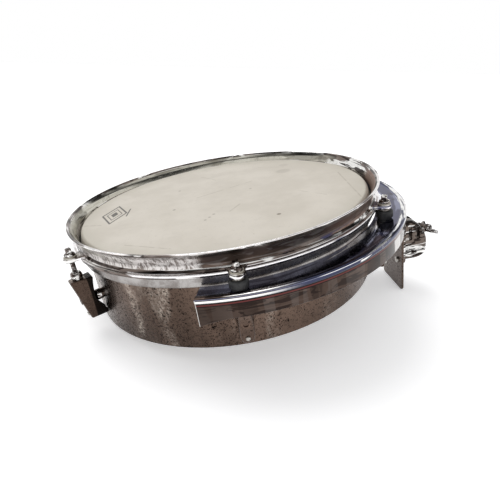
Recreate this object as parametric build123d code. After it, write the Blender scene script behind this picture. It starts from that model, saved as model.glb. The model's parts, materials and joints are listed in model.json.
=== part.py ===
"""Single 14 x 4 inch timbale on an isolation mount, resting on a flat surface.

Everything is drawn in the drum's own frame first: the origin is the centre of the shell's
open lower rim, +Z is the drum's axis, and +X points at the mount. The finished pieces are
then tilted and shifted together into the resting attitude, in which the drum leans on the
lower edge of its mount plate and on the far side of the shell's rim.
"""
import os
from math import atan2, cos, degrees, radians, sin

from build123d import *

# ---- clearances ----
SEATED = 0.02                 # pieces that sit tight together
RUNNING = 0.05                # pieces that turn or slide

# ---- shell ----
SHELL_RADIUS = 177.8          # 14 inch drum
SHELL_DEPTH = 101.6           # 4 inches
SHELL_WALL = 1.5
RIM_TURN_IN = 5.0             # both rims are rolled inwards by this much
RIM_ROUND = 1.2               # lower rim
BEARING_ROUND = 2.4           # outer corner of the bearing edge

# ---- head ----
FILM = 0.4
FILM_GAP = 0.25
HEAD_TOP = SHELL_DEPTH + FILM
FLESH_HOOP_IN = 179.6
FLESH_HOOP_OUT = 184.4
FLESH_HOOP_LOW = 73.5
FLESH_HOOP_TOP = 86.2
CHANNEL_WALL = 1.1

# ---- counter hoop ----
HOOP_SHEET = 2.3
HOOP_WALL_IN = 182.0
HOOP_TOP = 112.0
HOOP_LIP_OUT = 192.0
HOOP_LIP = 2.4                # width of the rolled edge on top
HOOP_FLARE = 97.0             # the wall leans outwards above this height
HOOP_FOOT_LOW = 86.4
HOOP_FOOT_OUT = 191.0
HOOP_BEAD = 2.3
EAR_HALF_WIDTH = 7.8
EAR_LOW = 88.6
EAR_TOP = 92.4
EAR_HOLE = 3.4

# ---- tension rods ----
LUG_COUNT = 6
LUG_STEP = 360 / LUG_COUNT
FIRST_LUG = -90.0             # one lug faces -Y
ROD_CIRCLE = 198.5
ROD_RADIUS = 2.75
ROD_END = 47.0
ROD_COLLAR = 5.8
ROD_COLLAR_THICK = 2.6
ROD_NECK = 4.2
ROD_HEAD = 6.0                # square drive
ROD_HEAD_TOP = 103.0
ROD_HEAD_LOW = 97.8
WASHER_RADIUS = 7.0
WASHER_HOLE = 3.1
STEEL_WASHER = 1.2
NYLON_WASHER = 0.9
SEAT_GAP = 0.1

# ---- lugs ----
LUG_TOP = 66.5
LUG_FOOT = 16.0
LUG_OUT_TOP = 208.3
LUG_OUT_FOOT = 197.5
LUG_IN = 184.5                # back edge at the top
LUG_WAIST = 187.5             # back edge at mid height, scooped away from the shell
LUG_SOLE = 178.4              # back edge at the foot, close to the shell
LUG_SOLE_HEIGHT = 6.0
LUG_TOP_WIDTH = 19.5
LUG_FOOT_WIDTH = 11.5
LUG_BACK_HALF = 10.0          # half widths of the section, which narrows outwards
LUG_FACE_HALF = 5.0
LUG_POST_IN = 187.0
LUG_POST_RADIUS = 4.6
LUG_SHEET = 1.8
LUG_FIX_HEIGHT = 40.0
NUT_TOP = 72.0
NUT_LOW = 48.0
NUT_RADIUS = 4.4
NUT_COLLAR = 5.8
NUT_ROUND = 2.2
NUT_BORE = ROD_RADIUS + RUNNING
STANDOFF_RADIUS = 6.2
BOLT_RADIUS = 2.5
BOLT_HOLE = 2.7
LUG_BOLT_HEAD = 4.6            # radius of the bolt heads inside the shell
LUG_BOLT_HEAD_THICK = 3.2
BACKING_WASHER = 6.5          # radius
BACKING_WASHER_THICK = 2.2
RIVET_HEIGHT = 22.0
RIVET_HOLE = 1.2
RIVET_STEM = 1.15
RIVET_DOME = 2.5

# ---- isolation mount ----
BAND_CENTRE = 8.9             # the band's arc is struck from a point nearer the mount
BAND_OUT = 212.0
BAND_SHEET = 2.0
BAND_LOW = 54.5
BAND_ROLL = 3.2               # radius of the rolled corner
ROLL_PROUD = 1.0              # how far the roll stands out past the wall
ROLL_DROP = 1.7               # how far its centre lies below the flange
FLANGE_TOP = 76.2
FLANGE_IN = 186.6
BAND_END = 103.5              # half angle that the band covers
BAND_TAB = 7.0                # angle at each end over which the wall hangs lower
BAND_TAB_LOW = 48.5
MOUNTED_LUGS = (0, 1, 2, 3)
GROMMET_RADIUS = 9.2
GROMMET_SHOULDER = 7.8          # slimmer beside the band's rolled corner
GROMMET_WAIST = 7.0
GROMMET_LOW = 72.3
GROMMET_TOP = 86.2
SLEEVE_OUT = 5.0
SLEEVE_IN = 3.3
SHIM_RADIUS = 5.8             # washer between a grommet and its ear

# ---- mount plate and bracket ----
PLATE_X = 222.4               # inner face
PLATE_SHEET = 3.0
PLATE_HALF_WIDTH = 32.0
PLATE_TOP = 69.6
PLATE_FOOT = -66.0
PLATE_CORNER = 6.0
PAD_HALF_WIDTH = 27.0
PLATE_BOLT_Y = 20.0
PLATE_BOLT_Z = 62.0
PLATE_BOLT_HEAD = 5.0         # radius
PLATE_BOLT_HEAD_THICK = 3.0
PLATE_NUT = 4.6               # half width across the corners
PLATE_NUT_THICK = 4.0
PLATE_NUT_REACH = 9.2         # inner face of the nut, behind the plate
BRACKET_Z = 0.0               # middle of the casting
BASE_WIDTH = 50.0
BASE_HEIGHT = 60.0
BASE_THICK = 5.0
BASE_BOLT_INSET = 6.5
BASE_BOLT_HEAD = 4.2          # radius
BASE_BOLT_HEAD_THICK = 2.6
GASKET = 1.0
BODY_WIDTH = 44.0
BODY_HEIGHT = 50.0
BODY_OUT = 264.0
ROD_BORE_X = 245.0
ROD_BORE = 5.4                # takes a 10.5 mm L-rod
CLAMP_Z = 8.0                 # eye bolt's axis
EYE_OUT = 10.5
EYE_WIDTH = 11.0
STEM_RADIUS = 4.0
WING_WASHER_RADIUS = 8.0
WING_WASHER_THICK = 1.5
WING_PITCH = 1.25             # thread pitch, so how far one turn backs the nut off
WING_TURNS = 2
STEM_SPARE = 1.5              # stem left past the nut once it is backed off
HUB_RADIUS = 6.5
HUB_LENGTH = 11.0
WING_SPAN = 21.0
WING_SHEET = 3.4
WING_SWEEP = 10.1             # how far outwards the wings lean

# ---- resting attitude ----
REST_TILT = degrees(atan2(-PLATE_FOOT, PLATE_X + SHELL_RADIUS))


def ring(inner, outer, low, high):
    """Plain ring about the drum's axis."""
    outside = Cylinder(outer, high - low, align=(Align.CENTER, Align.CENTER, Align.MIN))
    inside = Cylinder(inner, high - low + 2, align=(Align.CENTER, Align.CENTER, Align.MIN))
    return Pos(0, 0, low) * (outside - Pos(0, 0, -1) * inside)


def rod_z(radius, low, high):
    """Upright round bar standing on z = low."""
    return Pos(0, 0, low) * Cylinder(radius, high - low, align=(Align.CENTER, Align.CENTER, Align.MIN))


def rod_x(radius, start, end):
    """Round bar along +X from x = start to x = end."""
    bar = Cylinder(radius, end - start, align=(Align.CENTER, Align.CENTER, Align.MIN))
    return Pos(start, 0, 0) * Rot(0, 90, 0) * bar


def turned(outline):
    """Solid of revolution about the drum's axis from an outline drawn in the XZ plane."""
    return revolve(make_face(outline), Axis.Z)


def at_rod(piece, index):
    """Puts a piece drawn about the Z axis on rod number index."""
    return Rot(0, 0, FIRST_LUG + LUG_STEP * index) * Pos(ROD_CIRCLE, 0, 0) * piece


def at_lug(piece, index):
    """Turns a piece drawn for the lug on +X to lug number index."""
    return Rot(0, 0, FIRST_LUG + LUG_STEP * index) * piece


def around(piece, place, indices):
    """One separate solid of the same piece at each of the given lugs."""
    return [place(piece, index) for index in indices]


def shell():
    """Steel shell: a straight wall with both rims turned inwards."""
    out = SHELL_RADIUS
    inner = SHELL_RADIUS - SHELL_WALL
    turn = SHELL_RADIUS - RIM_TURN_IN
    outline = Polyline(
        (inner, 0, SHELL_WALL), (turn, 0, SHELL_WALL), (turn, 0, 0), (out, 0, 0),
        (out, 0, SHELL_DEPTH - BEARING_ROUND), (out - BEARING_ROUND, 0, SHELL_DEPTH),
        (turn, 0, SHELL_DEPTH - 2.6), (turn, 0, SHELL_DEPTH - 4.4),
        (inner, 0, SHELL_DEPTH - 4.4), (inner, 0, SHELL_WALL))
    body = turned(outline)
    low_edge = body.edges().filter_by(GeomType.CIRCLE).group_by(Axis.Z)[0].sort_by(SortBy.RADIUS)[-1]
    body = fillet(low_edge, RIM_ROUND)
    for index in range(LUG_COUNT):
        body -= at_lug(Pos(0, 0, LUG_FIX_HEIGHT) * rod_x(BOLT_HOLE, out - 10, out + 5), index)
    return body


def head_film():
    """Coated film: flat playing surface, then a collar down into the flesh hoop."""
    crown = SHELL_RADIUS + FILM_GAP - BEARING_ROUND + 0.1
    knee = FLESH_HOOP_TOP + 2.5
    skirt = FLESH_HOOP_IN + CHANNEL_WALL + 0.5
    end = FLESH_HOOP_LOW + 5.0
    collar = SHELL_RADIUS + FILM_GAP
    outline = Polyline(
        (0, 0, HEAD_TOP), (crown + 0.1, 0, HEAD_TOP), (collar + FILM, 0, HEAD_TOP - 2.3),
        (skirt + FILM, 0, knee), (skirt + FILM, 0, end), (skirt, 0, end), (skirt, 0, knee - 0.2),
        (collar, 0, HEAD_TOP - 2.6), (crown - 0.1, 0, SHELL_DEPTH), (0, 0, SHELL_DEPTH),
        (0, 0, HEAD_TOP))
    return turned(outline)


def flesh_hoop():
    """Aluminium channel that the film is bedded in, open upwards."""
    low, top = FLESH_HOOP_LOW, FLESH_HOOP_TOP
    inner, outer = FLESH_HOOP_IN, FLESH_HOOP_OUT
    channel = ring(inner, outer, low, top)
    channel -= ring(inner + CHANNEL_WALL, outer - CHANNEL_WALL, low + 1.4, top + 1)
    outer_edges = channel.edges().filter_by(GeomType.CIRCLE).group_by(SortBy.RADIUS)[-1]
    return fillet(outer_edges, 0.5)


def head_resin():
    """Cured resin in the floor of the channel, below the film's edge."""
    inner = FLESH_HOOP_IN + CHANNEL_WALL
    outer = FLESH_HOOP_OUT - CHANNEL_WALL
    return ring(inner, outer, FLESH_HOOP_LOW + 1.4, FLESH_HOOP_LOW + 5.0)


def counter_hoop():
    """Flared steel hoop: rolled-out lip, wall, beaded foot and six ears for the rods."""
    wall_out = HOOP_WALL_IN + HOOP_SHEET
    foot_top = HOOP_FOOT_LOW + HOOP_SHEET
    bead_z = HOOP_FOOT_LOW + HOOP_BEAD
    knee_z = (HOOP_FLARE + HOOP_TOP) / 2 + 1.0
    outline = Polyline(
        (HOOP_WALL_IN, 0, HOOP_FOOT_LOW), (HOOP_FOOT_OUT - HOOP_BEAD, 0, HOOP_FOOT_LOW),
        (HOOP_FOOT_OUT - HOOP_BEAD, 0, foot_top), (wall_out, 0, foot_top + 3.0),
        (wall_out, 0, HOOP_FLARE), (wall_out + 3.1, 0, knee_z), (HOOP_LIP_OUT, 0, HOOP_TOP - 1.2),
        (HOOP_LIP_OUT - 0.8, 0, HOOP_TOP), (HOOP_LIP_OUT - HOOP_LIP, 0, HOOP_TOP),
        (HOOP_WALL_IN + 3.2, 0, knee_z + 0.8), (HOOP_WALL_IN, 0, HOOP_FLARE + 1.0),
        (HOOP_WALL_IN, 0, HOOP_FOOT_LOW))
    body = turned(outline)
    bead = Pos(HOOP_FOOT_OUT - HOOP_BEAD, 0, bead_z) * Rot(90, 0, 0) * Circle(HOOP_BEAD)
    body += revolve(bead, Axis.Z)
    reach = ROD_CIRCLE - wall_out + 0.6
    height = EAR_TOP - EAR_LOW
    arm = Box(reach, 2 * EAR_HALF_WIDTH, height, align=(Align.MAX, Align.CENTER, Align.MIN))
    ear = Pos(0, 0, EAR_LOW) * arm + rod_z(EAR_HALF_WIDTH, EAR_LOW, EAR_TOP)
    hole = rod_z(EAR_HOLE, EAR_LOW - 5, EAR_TOP + 5)
    for index in range(LUG_COUNT):
        body += at_rod(ear, index)
    for index in range(LUG_COUNT):
        body -= at_rod(hole, index)
    return body


def tension_rod():
    """Key rod: square drive, neck, collar and a plain shank at the thread's size."""
    collar_low = EAR_TOP + STEEL_WASHER + NYLON_WASHER + SEAT_GAP
    collar_top = collar_low + ROD_COLLAR_THICK
    shank = rod_z(ROD_RADIUS, ROD_END, collar_low + 1)
    shank = chamfer(shank.edges().group_by(Axis.Z)[0], 0.8)
    collar = rod_z(ROD_COLLAR, collar_low, collar_top)
    collar = fillet(collar.edges().filter_by(GeomType.CIRCLE).group_by(Axis.Z)[-1], 0.8)
    neck = rod_z(ROD_NECK, collar_top, ROD_HEAD_LOW)
    head_height = ROD_HEAD_TOP - ROD_HEAD_LOW
    drive = Box(ROD_HEAD, ROD_HEAD, head_height, align=(Align.CENTER, Align.CENTER, Align.MIN))
    drive = chamfer(drive.edges().group_by(Axis.Z)[-1], 0.7)
    return shank + collar + neck + Pos(0, 0, ROD_HEAD_LOW) * drive


def washer(inner, outer, low, high):
    """Flat washer about the Z axis."""
    return rod_z(outer, low, high) - rod_z(inner, low - 1, high + 1)


def lug_outline_side(inset, behind):
    """Radial section of a lug as a slab; inset shrinks it and behind carries its back inwards."""
    out_top = LUG_OUT_TOP - inset
    out_foot = LUG_OUT_FOOT - inset
    top = LUG_TOP - inset
    foot = LUG_FOOT + inset
    heel = foot + LUG_SOLE_HEIGHT
    back_top, back_waist, back_sole = LUG_IN - behind, LUG_WAIST - behind, LUG_SOLE - behind
    sole = Line((back_sole, 0, foot), (out_foot, 0, foot))
    slope = Line((out_foot, 0, foot), (out_top, 0, top - 3))
    crown = Line((out_top, 0, top - 3), (out_top - 2.2, 0, top))
    roof = Line((out_top - 2.2, 0, top), (back_top, 0, top))
    scoop = ThreePointArc((back_top, 0, top), (back_waist, 0, (top + heel) / 2), (back_sole, 0, heel))
    back = Line((back_sole, 0, heel), (back_sole, 0, foot))
    return extrude(make_face([sole, slope, crown, roof, scoop, back]), amount=20, both=True)


def lug_outline_plan(inset):
    """Level section of a lug, narrowing outwards; an upright prism."""
    back_half = LUG_BACK_HALF - inset
    face_half = LUG_FACE_HALF - inset
    inner, outer = LUG_SOLE - 15, LUG_OUT_TOP + 1
    widen = (back_half - face_half) * (LUG_SOLE - inner) / (outer - LUG_SOLE)
    face = make_face(Polyline(
        (inner, -back_half - widen), (outer, -face_half), (outer, face_half), (inner, back_half + widen),
        (inner, -back_half - widen)))
    return extrude(face, amount=LUG_TOP + 10)


def lug_outline_front(inset):
    """Front outline of a lug: tapering, with a round foot; a slab along the radius."""
    top_half = LUG_TOP_WIDTH / 2 - inset
    foot_half = LUG_FOOT_WIDTH / 2 - inset
    top = LUG_TOP - inset
    knee = LUG_FOOT + LUG_FOOT_WIDTH / 2
    foot = LUG_FOOT + inset
    left = Line((0, -top_half, top), (0, -foot_half, knee))
    sole = ThreePointArc((0, -foot_half, knee), (0, 0, foot), (0, foot_half, knee))
    right = Line((0, foot_half, knee), (0, top_half, top))
    roof = Line((0, top_half, top), (0, -top_half, top))
    face = make_face([left, sole, right, roof])
    return Pos(LUG_SOLE - 15, 0, 0) * extrude(face, amount=60, dir=(1, 0, 0))


def lug_section(inset, behind):
    """Solid inside all three outlines of a lug."""
    return lug_outline_side(inset, behind) & lug_outline_front(inset) & lug_outline_plan(inset)


def lug_body():
    """Hollow wedge-shaped lug, open towards the shell, with a post for its fixing bolt."""
    post = Pos(0, 0, LUG_FIX_HEIGHT) * rod_x(LUG_POST_RADIUS, LUG_POST_IN, LUG_OUT_FOOT + 3)
    neck = Pos(ROD_CIRCLE, 0, 0) * rod_z(NUT_RADIUS + LUG_SHEET, LUG_TOP - 6, LUG_TOP)
    body = lug_section(0, 0) - lug_section(LUG_SHEET, 12) + post + (neck & lug_section(0, 0))
    body -= Pos(ROD_CIRCLE, 0, 0) * rod_z(NUT_RADIUS + RUNNING, LUG_TOP - 8, LUG_TOP + 1)
    body -= Pos(0, 0, LUG_FIX_HEIGHT) * rod_x(BOLT_RADIUS, LUG_POST_IN - 1, LUG_OUT_FOOT - 1)
    body -= Pos(0, 0, RIVET_HEIGHT) * rod_x(RIVET_HOLE, LUG_IN, LUG_OUT_TOP)
    return body


def lug_nut():
    """Swivel nut dropped into the lug's top, with a rounded collar above."""
    collar = rod_z(NUT_COLLAR, LUG_TOP, NUT_TOP)
    collar = fillet(collar.edges().filter_by(GeomType.CIRCLE), NUT_ROUND)
    barrel = rod_z(NUT_RADIUS, NUT_LOW, LUG_TOP + 2)
    return collar + barrel - rod_z(NUT_BORE, NUT_LOW - 1, NUT_TOP + 1)


def lug_standoff():
    """Round spacer between the shell and the lug, saddled to the shell."""
    end = LUG_POST_IN
    spacer = Pos(0, 0, LUG_FIX_HEIGHT) * rod_x(STANDOFF_RADIUS, SHELL_RADIUS - 3, end)
    spacer = fillet(spacer.edges().filter_by(GeomType.CIRCLE).sort_by(Axis.X)[-1], 1.0)
    spacer -= Pos(0, 0, LUG_FIX_HEIGHT) * rod_x(BOLT_HOLE, SHELL_RADIUS - 5, end + 1)
    return spacer - ring(SHELL_RADIUS - 20, SHELL_RADIUS + SEATED, 0, SHELL_DEPTH)


def lug_bolt():
    """Pan-head bolt from inside the shell into the lug's post."""
    face = SHELL_RADIUS - SHELL_WALL - BACKING_WASHER_THICK
    head = rod_x(LUG_BOLT_HEAD, face - LUG_BOLT_HEAD_THICK, face)
    head = fillet(head.edges().filter_by(GeomType.CIRCLE).sort_by(Axis.X)[0], 1.4)
    slot = Pos(face - LUG_BOLT_HEAD_THICK, 0, 0) * Box(2.4, 1.2, 12)
    shank = rod_x(BOLT_RADIUS - SEATED, face - 0.5, LUG_OUT_FOOT - 3)
    return Pos(0, 0, LUG_FIX_HEIGHT) * (head - slot + shank)


def lug_bolt_washer():
    """Curved-back washer under the bolt's head."""
    inner_wall = SHELL_RADIUS - SHELL_WALL
    face = inner_wall - BACKING_WASHER_THICK
    disc = rod_x(BACKING_WASHER, face, inner_wall + 2) - rod_x(BOLT_HOLE, face - 1, inner_wall + 3)
    return Pos(0, 0, LUG_FIX_HEIGHT) * disc - ring(inner_wall - SEATED, inner_wall + 20, 0, SHELL_DEPTH)


def lug_rivet():
    """Small dome-headed drive rivet low on the lug's face."""
    slope = degrees(atan2(LUG_OUT_TOP - LUG_OUT_FOOT, LUG_TOP - 3 - LUG_FOOT))
    share = (RIVET_HEIGHT - LUG_FOOT) / (LUG_TOP - 3 - LUG_FOOT)
    face = LUG_OUT_FOOT + share * (LUG_OUT_TOP - LUG_OUT_FOOT)
    dome = rod_x(RIVET_DOME, SEATED, 1.4)
    dome = fillet(dome.edges().filter_by(GeomType.CIRCLE).sort_by(Axis.X)[-1], 1.2)
    dome = Pos(face, 0, RIVET_HEIGHT) * Rot(0, slope, 0) * dome
    stem = Pos(0, 0, RIVET_HEIGHT) * rod_x(RIVET_STEM, face - LUG_SHEET - 0.5, face + 0.6)
    return dome + stem


def band_outline():
    """Section of the band: flange, rolled corner and hanging wall."""
    wall_in = BAND_OUT - BAND_SHEET
    flange_low = FLANGE_TOP - BAND_SHEET
    roll_x = BAND_OUT - BAND_ROLL + ROLL_PROUD
    roll = Pos(roll_x, FLANGE_TOP - ROLL_DROP) * Circle(BAND_ROLL)
    wall = Pos(wall_in, BAND_TAB_LOW) * Rectangle(
        BAND_SHEET, FLANGE_TOP - 2 - BAND_TAB_LOW, align=(Align.MIN, Align.MIN))
    flange = Pos(150, flange_low) * Rectangle(roll_x - 150, BAND_SHEET, align=(Align.MIN, Align.MIN))
    hollow = Pos(roll_x, FLANGE_TOP - ROLL_DROP) * Circle(BAND_ROLL - BAND_SHEET)
    slit = Pos(roll_x - BAND_ROLL, flange_low) * Rectangle(
        2 * BAND_ROLL - BAND_SHEET, BAND_ROLL, align=(Align.MIN, Align.MAX))
    return Plane.XZ * (roll - hollow - slit + wall + flange)


def suspension_band():
    """Half-round steel band that carries the drum through four rubber grommets."""
    full = revolve(band_outline(), Axis.Z, BAND_END * 2)
    full = Pos(BAND_CENTRE, 0, 0) * Rot(0, 0, -BAND_END) * full
    full -= rod_z(FLANGE_IN, 0, HOOP_TOP)
    covered = BAND_END - BAND_TAB
    trim = revolve(Plane.XZ * Pos(BAND_OUT, (BAND_TAB_LOW + BAND_LOW) / 2 - 1) * Rectangle(
        12, BAND_LOW - BAND_TAB_LOW + 2), Axis.Z, covered * 2)
    full -= Pos(BAND_CENTRE, 0, 0) * Rot(0, 0, -covered) * trim
    for index in MOUNTED_LUGS:
        full -= at_rod(rod_z(GROMMET_WAIST + RUNNING, FLANGE_TOP - 6, FLANGE_TOP + 3), index)
    for side in (-1, 1):
        hole = Pos(0, side * PLATE_BOLT_Y, PLATE_BOLT_Z) * rod_x(BOLT_HOLE, PLATE_X - 15, PLATE_X)
        full -= hole
    return full


def isolation_grommet():
    """Rubber grommet with a waist that grips the band's flange."""
    lower = rod_z(GROMMET_SHOULDER, GROMMET_LOW, FLANGE_TOP - BAND_SHEET)
    waist = rod_z(GROMMET_WAIST, GROMMET_LOW, GROMMET_TOP)
    shoulder = rod_z(GROMMET_SHOULDER, FLANGE_TOP, GROMMET_TOP - 1)
    upper = rod_z(GROMMET_RADIUS, FLANGE_TOP + BAND_ROLL - 1.2, GROMMET_TOP)
    upper = fillet(upper.edges().filter_by(GeomType.CIRCLE), 1.2)
    return lower + waist + shoulder + upper - rod_z(SLEEVE_OUT, GROMMET_LOW - 1, GROMMET_TOP + 1)


def mount_plate():
    """Flat hanging plate with a welded pad that fits the band's wall."""
    height = PLATE_TOP - PLATE_FOOT
    sheet = Box(PLATE_SHEET, 2 * PLATE_HALF_WIDTH, height, align=(Align.MIN, Align.CENTER, Align.MIN))
    sheet = fillet(sheet.edges().filter_by(Axis.X), PLATE_CORNER)
    plate = Pos(PLATE_X, 0, PLATE_FOOT) * sheet
    pad_low = BAND_LOW + 0.5
    pad = Box(8, 2 * PAD_HALF_WIDTH, PLATE_TOP - pad_low, align=(Align.MAX, Align.CENTER, Align.MIN))
    pad = Pos(PLATE_X, 0, pad_low) * pad
    pad -= Pos(BAND_CENTRE, 0, 0) * rod_z(BAND_OUT + SEATED, 0, HOOP_TOP)
    plate += pad
    for side in (-1, 1):
        plate -= Pos(0, side * PLATE_BOLT_Y, PLATE_BOLT_Z) * rod_x(BOLT_HOLE, PLATE_X - 15, PLATE_X + 10)
    for y, z in bracket_bolt_places():
        plate -= Pos(0, y, z) * rod_x(BOLT_HOLE, PLATE_X - 5, PLATE_X + 10)
    return plate


def plate_bolt():
    """Button-head bolt through the plate, pad and band, drawn at y = 0."""
    out = PLATE_X + PLATE_SHEET
    head = rod_x(PLATE_BOLT_HEAD, out + SEATED, out + PLATE_BOLT_HEAD_THICK)
    head = fillet(head.edges().filter_by(GeomType.CIRCLE).sort_by(Axis.X)[-1], 1.8)
    socket = rod_x(1.6, out + 1.4, out + 4)
    return head - socket + rod_x(BOLT_RADIUS, PLATE_X - 12.6, out + 0.5)


def plate_nut():
    """Hexagon nut inside the band's wall, drawn at y = 0."""
    inner_face = PLATE_X - PLATE_NUT_REACH
    hexagon = extrude(Plane.YZ * RegularPolygon(PLATE_NUT, 6), amount=PLATE_NUT_THICK)
    return Pos(inner_face, 0, 0) * (hexagon - rod_x(BOLT_RADIUS + SEATED, -1, 6))


def bracket_bolt_places():
    """Four bolts at the corners of the bracket's base."""
    half_y = BASE_WIDTH / 2 - BASE_BOLT_INSET
    half_z = BASE_HEIGHT / 2 - BASE_BOLT_INSET
    return [(y, BRACKET_Z + z) for y in (-half_y, half_y) for z in (-half_z, half_z)]


def bracket_gasket():
    """Fibre gasket between the plate and the casting."""
    face = PLATE_X + PLATE_SHEET
    sheet = Box(GASKET, BASE_WIDTH, BASE_HEIGHT, align=(Align.MIN, Align.CENTER, Align.CENTER))
    sheet = Pos(face, 0, BRACKET_Z) * fillet(sheet.edges().filter_by(Axis.X), 7)
    for y, z in bracket_bolt_places():
        sheet -= Pos(0, y, z) * rod_x(BOLT_HOLE, face - 1, face + 5)
    return sheet


def bracket_body():
    """Die-cast clamp body on a base flange, with an upright bore and a pocket for the eye."""
    base_x = PLATE_X + PLATE_SHEET + GASKET
    base = Box(BASE_THICK, BASE_WIDTH, BASE_HEIGHT, align=(Align.MIN, Align.CENTER, Align.CENTER))
    base = fillet(base.edges().filter_by(Axis.X), 7)
    base = Pos(base_x, 0, BRACKET_Z) * fillet(base.faces().sort_by(Axis.X)[-1].edges(), 1.6)
    depth = BODY_OUT - base_x
    block = Box(depth, BODY_WIDTH, BODY_HEIGHT, align=(Align.MIN, Align.CENTER, Align.CENTER))
    outer_edges = block.faces().sort_by(Axis.X)[-1].edges().filter_by(Axis.Y)
    block = fillet(outer_edges, 12)
    block = fillet(block.edges().filter_by(Axis.X), 7)
    body = base + Pos(base_x, 0, BRACKET_Z) * block
    body -= Pos(ROD_BORE_X, 0, 0) * rod_z(ROD_BORE, BRACKET_Z - 40, BRACKET_Z + 40)
    pocket = Box(2 * EYE_OUT + 3.4, 2 * EYE_OUT + 1, EYE_WIDTH + 0.6)
    body -= Pos(ROD_BORE_X + 0.5, 0, CLAMP_Z) * pocket
    body -= Pos(0, 0, CLAMP_Z) * rod_x(STEM_RADIUS + 0.4, ROD_BORE_X, BODY_OUT + 5)
    for y, z in bracket_bolt_places():
        body -= Pos(0, y, z) * rod_x(BOLT_RADIUS, base_x - 1, base_x + BASE_THICK - 1)
    return body


def bracket_bolt():
    """Pan-head screw from the plate's inner face into the casting's base, at y = z = 0."""
    head = rod_x(BASE_BOLT_HEAD, PLATE_X - BASE_BOLT_HEAD_THICK, PLATE_X - SEATED)
    head = fillet(head.edges().filter_by(GeomType.CIRCLE).sort_by(Axis.X)[0], 1.2)
    end = PLATE_X + PLATE_SHEET + GASKET + BASE_THICK - 1.5
    return head + rod_x(BOLT_RADIUS - SEATED, PLATE_X - 1, end)


def eye_bolt():
    """Clamping eye round the rod's bore, with a plain stem at the thread's size."""
    eye = Cylinder(EYE_OUT, EYE_WIDTH)
    reach = BODY_OUT + HUB_LENGTH + WING_TURNS * WING_PITCH + STEM_SPARE - ROD_BORE_X
    stem = rod_x(STEM_RADIUS, EYE_OUT - 2, reach)
    stem = chamfer(stem.edges().filter_by(GeomType.CIRCLE).sort_by(Axis.X)[-1], 1.0)
    return Pos(ROD_BORE_X, 0, CLAMP_Z) * (eye + stem - Cylinder(ROD_BORE, EYE_WIDTH + 2))


def wing_washer():
    """Flat washer that stays with the wing nut."""
    face = BODY_OUT + SEAT_GAP
    disc = rod_x(WING_WASHER_RADIUS, face, face + WING_WASHER_THICK)
    return Pos(0, 0, CLAMP_Z) * (disc - rod_x(STEM_RADIUS + 0.2, face - 1, face + 3))


def wing_nut():
    """Cast wing nut: tapered hub and two swept wings lying level at rest."""
    face = BODY_OUT + SEAT_GAP + WING_WASHER_THICK + SEAT_GAP
    hub = Cone(HUB_RADIUS, HUB_RADIUS - 1.4, HUB_LENGTH, align=(Align.CENTER, Align.CENTER, Align.MIN))
    hub = Pos(face, 0, 0) * Rot(0, 90, 0) * hub
    outline = make_face([
        Line((0, 1.0), (HUB_LENGTH * 0.8, 1.0)),
        Line((HUB_LENGTH * 0.8, 1.0), (HUB_LENGTH * 0.9, HUB_RADIUS)),
        ThreePointArc((HUB_LENGTH * 0.9, HUB_RADIUS), (WING_SWEEP * 1.1, WING_SPAN * 0.62),
                      (WING_SWEEP * 1.36, WING_SPAN * 0.86)),
        ThreePointArc((WING_SWEEP * 1.36, WING_SPAN * 0.86), (WING_SWEEP * 1.3, WING_SPAN),
                      (WING_SWEEP, WING_SPAN * 0.97)),
        ThreePointArc((WING_SWEEP, WING_SPAN * 0.97), (WING_SWEEP * 0.35, WING_SPAN * 0.62),
                      (0, HUB_RADIUS - 1)),
        Line((0, HUB_RADIUS - 1), (0, 1.0))])
    wing = extrude(outline, amount=WING_SHEET / 2, both=True)
    wings = Pos(face, 0, 0) * (wing + mirror(wing, Plane.XZ))
    nut = hub + wings - rod_x(STEM_RADIUS + RUNNING, face - 1, face + HUB_LENGTH + 8)
    return Pos(0, 0, CLAMP_Z) * nut


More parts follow.
